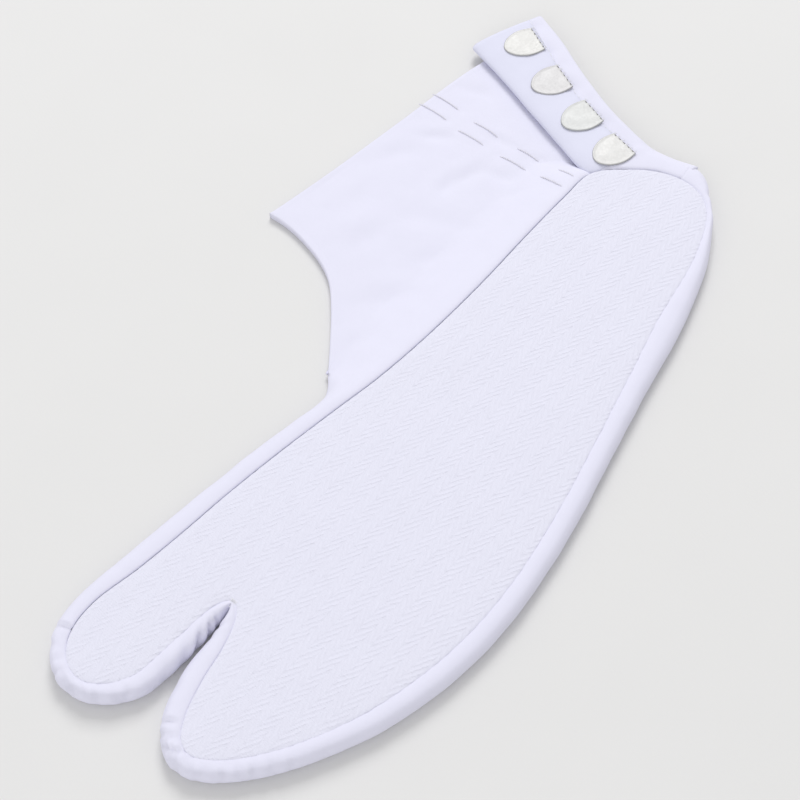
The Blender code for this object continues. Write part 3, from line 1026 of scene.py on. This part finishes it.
def make_upper_medial():
    cloth = Cloth()
    steps = even_steps(SOLE_SEAM, *MEDIAL_RUN, 0.9, True)
    slope = np.clip((steps - ROLL_ENDS) / (SLOPE_STARTS - ROLL_ENDS), 0, 1) ** 2.45
    points = border(steps, slope)
    pressed = ease((steps - 19.75) / 0.5)[:, None]
    place = seam_at(steps)[0][:, None, :]
    wider = spread(steps[:, None], SECTION_STEPS[None, :])[:, :, None]
    points[:, :, :2] = place + (points[:, :, :2] - place) * wider
    points[:, :, :2] = place + (points[:, :, :2] - place) * (1 - 0.78 * pressed[:, :, None])
    points[:, :, 2] = 2.0 + (points[:, :, 2] - 2.0) * (1 - 0.6 * pressed)
    share = ease((SECTION_STEPS - 5) / (len(ROLL) - 6.0))[None, :]
    share = share * ease((slope - 0.6) / 0.4)[:, None]
    points[:, :, 2] += share * relief(points[:, :, 0], points[:, :, 1])
    index = cloth.grid(points, flip=True)
    under = [index[i, -1] for i, u in enumerate(steps) if u <= ROLL_ENDS]
    ankle = [index[i, -1] for i, u in enumerate(steps) if u >= SLOPE_STARTS]
    seam = cloth.add(on_table(smooth_line(INSTEP_SEAM, 6.0)))
    cloth.fill(seam + under[::-1], 5.0, lambda x, y: 0 * x, up=False)
    rim = lip(cloth, open_edge(), UPPER_LIP, False, relief)
    back = smooth_line(MEDIAL_BACK, 3.0)[2:]
    back_ids = cloth.add(np.column_stack([back, PANEL_TOP + relief(back[:, 0], back[:, 1])]))
    outline = ankle + back_ids[::-1] + rim[::-1, -1].tolist()
    cloth.fill(outline, 1.35, lambda x, y: PANEL_TOP + relief(x, y))
    return settle(cloth.piece("upper_medial_cloth", UPPER, CLOTH), ["upper_medial"])


def flap_points(section, steps, sewn=False):
    """The flap's face at the places steps along it, for a section by distances from its edges."""
    rows = curve_at(FLAP, steps)
    fold, back = rows[:, :2], rows[:, 2:4]
    width = np.linalg.norm(fold - back, axis=1)
    inward = (fold - back) / width[:, None]
    start = rows[:, 4] if sewn else np.zeros(len(rows))
    out = np.array([
        [start[i] + a if b is None else width[i] - b for a, b, _ in section] for i in range(len(rows))
    ])
    height = np.array([[z for _, _, z in section]] * len(rows))
    table = np.stack([out, height], axis=2)
    fine = np.linspace(0, len(section) - 1, 3 * (len(section) - 1) + 1)
    smooth = np.array([curve_at(row, fine) for row in table])
    spots = back[:, None, :] + inward[:, None, :] * smooth[:, :, 0, None]
    return np.concatenate([spots, smooth[:, :, 1, None]], axis=2)


def puckered_flap():
    """The flap's face from the hem to the heel, drawn in a little beside each clasp."""
    along = even_steps(FLAP, 0, len(FLAP) - 1, 1.2)
    points = flap_points(FLAP_SECTION, along)
    joined = ease((along - HEEL_JOIN[0]) / (HEEL_JOIN[1] - HEEL_JOIN[0]))
    points += (flap_points(HEEL_SECTION, along) - points) * joined[:, None, None]
    x, y, z = (points[:, :, k] for k in range(3))
    z += 0.12 * drift(x, y, 11.0, 21) * np.clip(z / 3, 0, 1)
    for _, clasp_x, clasp_y, turn, _, _ in CLASPS:
        a = math.radians(turn)
        for side, height in PUCKERS:
            cx = clasp_x + side * math.cos(a) - PUCKER_BEHIND * math.sin(a)
            cy = clasp_y + side * math.sin(a) + PUCKER_BEHIND * math.cos(a)
            z += height * bell(np.hypot(x - cx, y - cy) / PUCKER_RADIUS) * (z > UPPER_LAYER)
    return points


def make_upper_lateral():
    cloth = Cloth()
    steps = even_steps(SOLE_SEAM, *LATERAL_RUN, 0.9, True)
    index = cloth.grid(border(steps, 0 * steps), flip=True)
    outline = index[:, -1].tolist()
    outline += cloth.add(on_table(smooth_line(INSTEP_SEAM, 6.0)))
    outline += cloth.add([(x, y, 0.0) for x, y in INSTEP_TURN])
    outline += lip(cloth, open_edge(), LOWER_LIP, True)[:, -1].tolist()
    flap = cloth.grid(puckered_flap())
    outline += flap[:, 0].tolist()
    cloth.fill(outline, 4.0, lambda x, y: 0 * x, up=False)
    return settle(cloth.piece("upper_lateral_cloth", UPPER, CLOTH), ["upper_lateral"])


# ---- the flap's facing and its stitches


def rounding(left):
    """How far a quarter round has dropped, from 0 where left is 0 to 1 where it is 1."""
    return 1 - np.sqrt(1 - left ** 2)


def facing_points():
    """The facing's face, its ends rounded down and its tucked side drawn back at the hem's end."""
    first, last = FACING_RUN
    near, far = FACING_ENDS
    closer = np.linspace(0, 1, 7) ** 1.5
    steps = even_steps(FLAP, first, last, 1.2)
    steps = steps[(steps > first + near) & (steps < last - far)]
    steps = np.unique(np.concatenate([steps, first + near * closer, last - far * closer]))
    points = flap_points(FACING_SECTION, steps, True)
    x, y = points[:, :, 0], points[:, :, 1]
    high = np.clip((points[:, :, 2] - 3.0) / 2.0, 0, 1)
    points[:, :, 2] += high * (0.19 * drift(x, y, 20.0, 31) + 0.08 * drift(x, y, 7.0, 32))
    left = 1 - np.clip((steps - first) / near, 0, 1)
    tip = np.clip(1 - np.arange(points.shape[1])[::-1] / 24.0, 0, 1)
    back = points[:, :1, :2] - points[:, -10:-9, :2]
    back /= np.linalg.norm(back, axis=2)[:, :, None]
    points[:, :, :2] += 2.2 * rounding(left)[:, None, None] * ease(tip / 0.5)[None, :, None] * back
    for gap, reach, drop in ((steps - first, near, 2.0), (last - steps, far, 0.9)):
        left = 1 - np.clip(gap / reach, 0, 1)
        points[:, :, 2] -= high * drop * rounding(left)[:, None]
    return points


def make_facing():
    cloth = Cloth()
    cloth.grid(facing_points())
    return settle(cloth.piece("flap_facing_cloth", FACING, FACING_CLOTH), ["flap_facing"])


def make_facing_stitches():
    """The line of machine stitches beside the facing's sewn edge."""
    cloth = Cloth()
    line = facing_points()[:, STITCH_LINE]
    run = run_along(line)
    start = 1.0
    while start + STITCH < run[-1] - 1.0:
        t = np.linspace(0, 1, 7)
        at = start + STITCH * t
        path = np.column_stack([np.interp(at, run, line[:, k]) for k in range(3)])
        path[:, 2] += 0.10 * np.sin(math.pi * t) ** 0.5 - 0.06
        tube(cloth, path, 0.13, 6)
        start += STITCH_PITCH
    return settle(cloth.piece("facing_stitches", THREAD))


# ---- clasps


def clasp_outline(inset):
    """The clasp's outline in its own plan, drawn in towards its middle by inset."""
    half = curve_at(CLASP_HALF, np.linspace(0, len(CLASP_HALF) - 1, 34))
    depth, width = half[:, 0], np.maximum(half[:, 1], 0.0)
    right = np.column_stack([width, -depth])
    left = np.column_stack([-width[::-1], -depth[::-1]])[1:]
    sewn = CLASP_HALF[0][1]
    straight = np.linspace(-sewn, sewn, 12)[1:-1]
    top = np.column_stack([straight, 0 * straight])
    ring = np.vstack([right, left, top])
    middle = np.array(CLASP_MIDDLE[:2])
    away = ring - middle
    size = np.linalg.norm(away, axis=1)[:, None]
    return middle + away * (size - inset) / size


def set_clasp(points, x, y, turn, along, across):
    """The clasp's own points, tilted, turned and set down on the facing."""
    a, b, c = math.radians(turn), math.radians(along), math.radians(across)
    points = np.asarray(points, float).copy()
    points[:, 2] += points[:, 0] * math.tan(b) + (points[:, 1] + 6.0) * math.tan(c)
    flat = points[:, :2].copy()
    points[:, 0] = x + flat[:, 0] * math.cos(a) - flat[:, 1] * math.sin(a)
    points[:, 1] = y + flat[:, 0] * math.sin(a) + flat[:, 1] * math.cos(a)
    points[:, 2] += CLASP_FOOT
    return points


def clasp_plate(metal, name, pose):
    """The pressed plate, with a raised rim."""
    cloth = Cloth()
    rings = []
    for inset, z in CLASP_PROFILE:
        ring = clasp_outline(inset)
        rings.append(np.column_stack([ring, np.full(len(ring), z)]))
    shape = np.array(rings)
    index = np.array(cloth.add(set_clasp(shape.reshape(-1, 3), *pose)))
    index = index.reshape(shape.shape[:2])
    cloth.join(np.column_stack([index, index[:, :1]]))
    hub = cloth.add(set_clasp([CLASP_MIDDLE], *pose))[0]
    last = index[-1]
    for i in range(len(last)):
        cloth.faces.append((last[i], last[(i + 1) % len(last)], hub))
    cloth.faces.append(tuple(index[0][::-1]))
    return settle(cloth.piece(name + "_plate", metal), [name])


def clasp_slots(name, pose):
    """The row of sewing slots along the straight edge, as dark ovals set on the plate: painted shade
    for the shadow inside the slots.
    """
    slots = Cloth()
    for k in range(SLOT_COUNT):
        middle = (k - (SLOT_COUNT - 1) / 2) * SLOT_PITCH
        ring = [
            (middle + 0.45 * math.cos(t), -0.36 + 0.13 * math.sin(t), 0.715)
            for t in np.linspace(0, 2 * math.pi, SLOT_SIDES, endpoint=False)
        ]
        deep = [(px, py, 0.40) for px, py, _ in ring]
        both = slots.add(set_clasp(ring + deep, *pose))
        top, low = both[:SLOT_SIDES], both[SLOT_SIDES:]
        slots.faces.append(tuple(top))
        slots.faces.append(tuple(low[::-1]))
        for i in range(SLOT_SIDES):
            j = (i + 1) % SLOT_SIDES
            slots.faces.append((low[i], low[j], top[j], top[i]))
    return settle(slots.piece(name + "_painted_slot_shade", SLOT_SHADE_METAL))


def clasp_threads(name, pose):
    """Pairs of stitches over the straight edge, each pair leaning the other way from the last."""
    threads = Cloth()
    t = np.linspace(0, 1, 11)
    for k in range(THREAD_COUNT):
        middle = (k - (THREAD_COUNT - 1) / 2) * THREAD_PITCH
        for side in (-0.16, 0.16):
            path = np.column_stack([
                middle + side + 0.1 * (t - 0.5) * (1 if k % 2 else -1),
                0.55 - 1.05 * t,
                -0.10 + 1.02 * np.sin(math.pi * (0.10 + 0.86 * t)) ** 0.6,
            ])
            tube(threads, set_clasp(path, *pose), 0.11, 6)
    return settle(threads.piece(name + "_threads", THREAD))


def make_clasp(metal, name, *pose):
    return [clasp_plate(metal, name, pose), clasp_slots(name, pose), clasp_threads(name, pose)]


# ---- thread loops


def panel_face(x, y):
    """Height of the ankle panel's face in plan."""
    gap, which = nearest(np.column_stack([x, y]), SEAM_LINE)
    steps = np.linspace(0, len(SLOPE) - 1, 200)
    slope = curve_at(SLOPE, steps)
    base = np.array([
        np.interp(g, slope[:, 0] * spread(u, steps), slope[:, 1])
        for g, u in zip(gap, SEAM_FINE[which])
    ])
    return base + relief(x, y) * ease((gap - 3.0) / 13.0)


def make_loop(name, ax, ay, bx, by):
    """Two strands twisted together, coming out of the cloth and going back in."""
    cloth = Cloth()
    t = np.linspace(0, 1, 56)
    x, y = ax + (bx - ax) * t, ay + (by - ay) * t + 0.18 * np.sin(math.pi * t)
    rise = 0.26 * np.clip(np.sin(math.pi * t) * 3.2, 0, 1) - 0.14
    z = panel_face(x, y) + rise
    twist = 2 * math.pi * np.hypot(bx - ax, by - ay) * t / 2.0
    for phase in (0.0, math.pi):
        path = np.column_stack([
            x,
            y + 0.14 * np.cos(twist + phase),
            z + 0.14 * np.sin(twist + phase),
        ])
        tube(cloth, path, 0.18 * (0.55 + 0.45 * np.clip(np.sin(math.pi * t) * 6, 0, 1)))
    return settle(cloth.piece(name + "_cord", CORD), [name])


def make_bar_tack():
    """Close stitches across the foot of the split between the toes."""
    cloth = Cloth()
    for k in range(7):
        t = np.linspace(0, 1, 9)
        y = -96.6 - 0.34 * k
        path = np.column_stack([
            9.6 + 2.9 * t,
            y + 0.15 * np.sin(3.1 * k) + 0 * t,
            6.15 + 0.42 * np.sin(math.pi * t) ** 0.6 - 0.10 * k,
        ])
        tube(cloth, path, 0.15, 6)
    return settle(cloth.piece("split_bar_tack", THREAD))


# ---- stage


# Each soft light by how far it is ahead, to the right and up as the camera faces, in metres.
LIGHTS = (
    # name, ahead, right, up, size, watts
    ("window", 1.50, 0.10, 1.60, 0.95, 26.0),
    ("fill", -1.20, -0.60, 0.66, 1.20, 5.0),
)
TABLE_HALF = 8.0


def make_table():
    mesh = bpy.data.meshes.new("table")
    corners = [(x * TABLE_HALF, y * TABLE_HALF, 0) for x, y in ((-1, -1), (1, -1), (1, 1), (-1, 1))]
    mesh.from_pydata(corners, [], [(0, 1, 2, 3)])
    mesh.materials.append(FLOOR)
    add_object("table", mesh)


def make_lights():
    world = bpy.data.worlds.new("studio")
    world.use_nodes = True
    sky = world.node_tree.nodes["Background"]
    sky.inputs["Color"].default_value = (1.0, 1.0, 1.0, 1.0)
    sky.inputs["Strength"].default_value = 0.68
    bpy.context.scene.world = world
    ahead = Vector((-math.sin(AZIMUTH), math.cos(AZIMUTH), 0.0))
    aside = Vector((math.cos(AZIMUTH), math.sin(AZIMUTH), 0.0))
    for name, forward, right, up, size, power in LIGHTS:
        light = bpy.data.lights.new(name, "AREA")
        light.shape = "SQUARE"
        light.size = size
        light.energy = power
        made = add_object(name, light)
        made.visible_camera = False
        made.location = ahead * forward + aside * right + Vector((0.0, 0.0, up))
        made.rotation_mode = "QUATERNION"
        made.rotation_quaternion = (-made.location).to_track_quat("-Z", "Y")


def make_camera():
    lens = bpy.data.cameras.new("camera")
    lens.lens = 72.0
    lens.sensor_width = 36.0
    lens.clip_start = 0.01
    lens.clip_end = 20.0
    made = add_object("camera", lens)
    made.location = CAMERA_AT
    made.rotation_euler = (math.pi / 2 - ELEVATION, 0.0, AZIMUTH)
    bpy.context.scene.camera = made
    bpy.context.scene.view_settings.view_transform = "Standard"


make_camera()
sole = make_sole()
medial = make_upper_medial()
lateral = make_upper_lateral()
facing = make_facing()
on_facing = [make_facing_stitches()]
for metal, row in zip(METALS, CLASPS):
    on_facing += make_clasp(metal, *row)
loops = [make_loop(*row) for row in LOOPS]
bar_tack = make_bar_tack()
make_table()
make_lights()
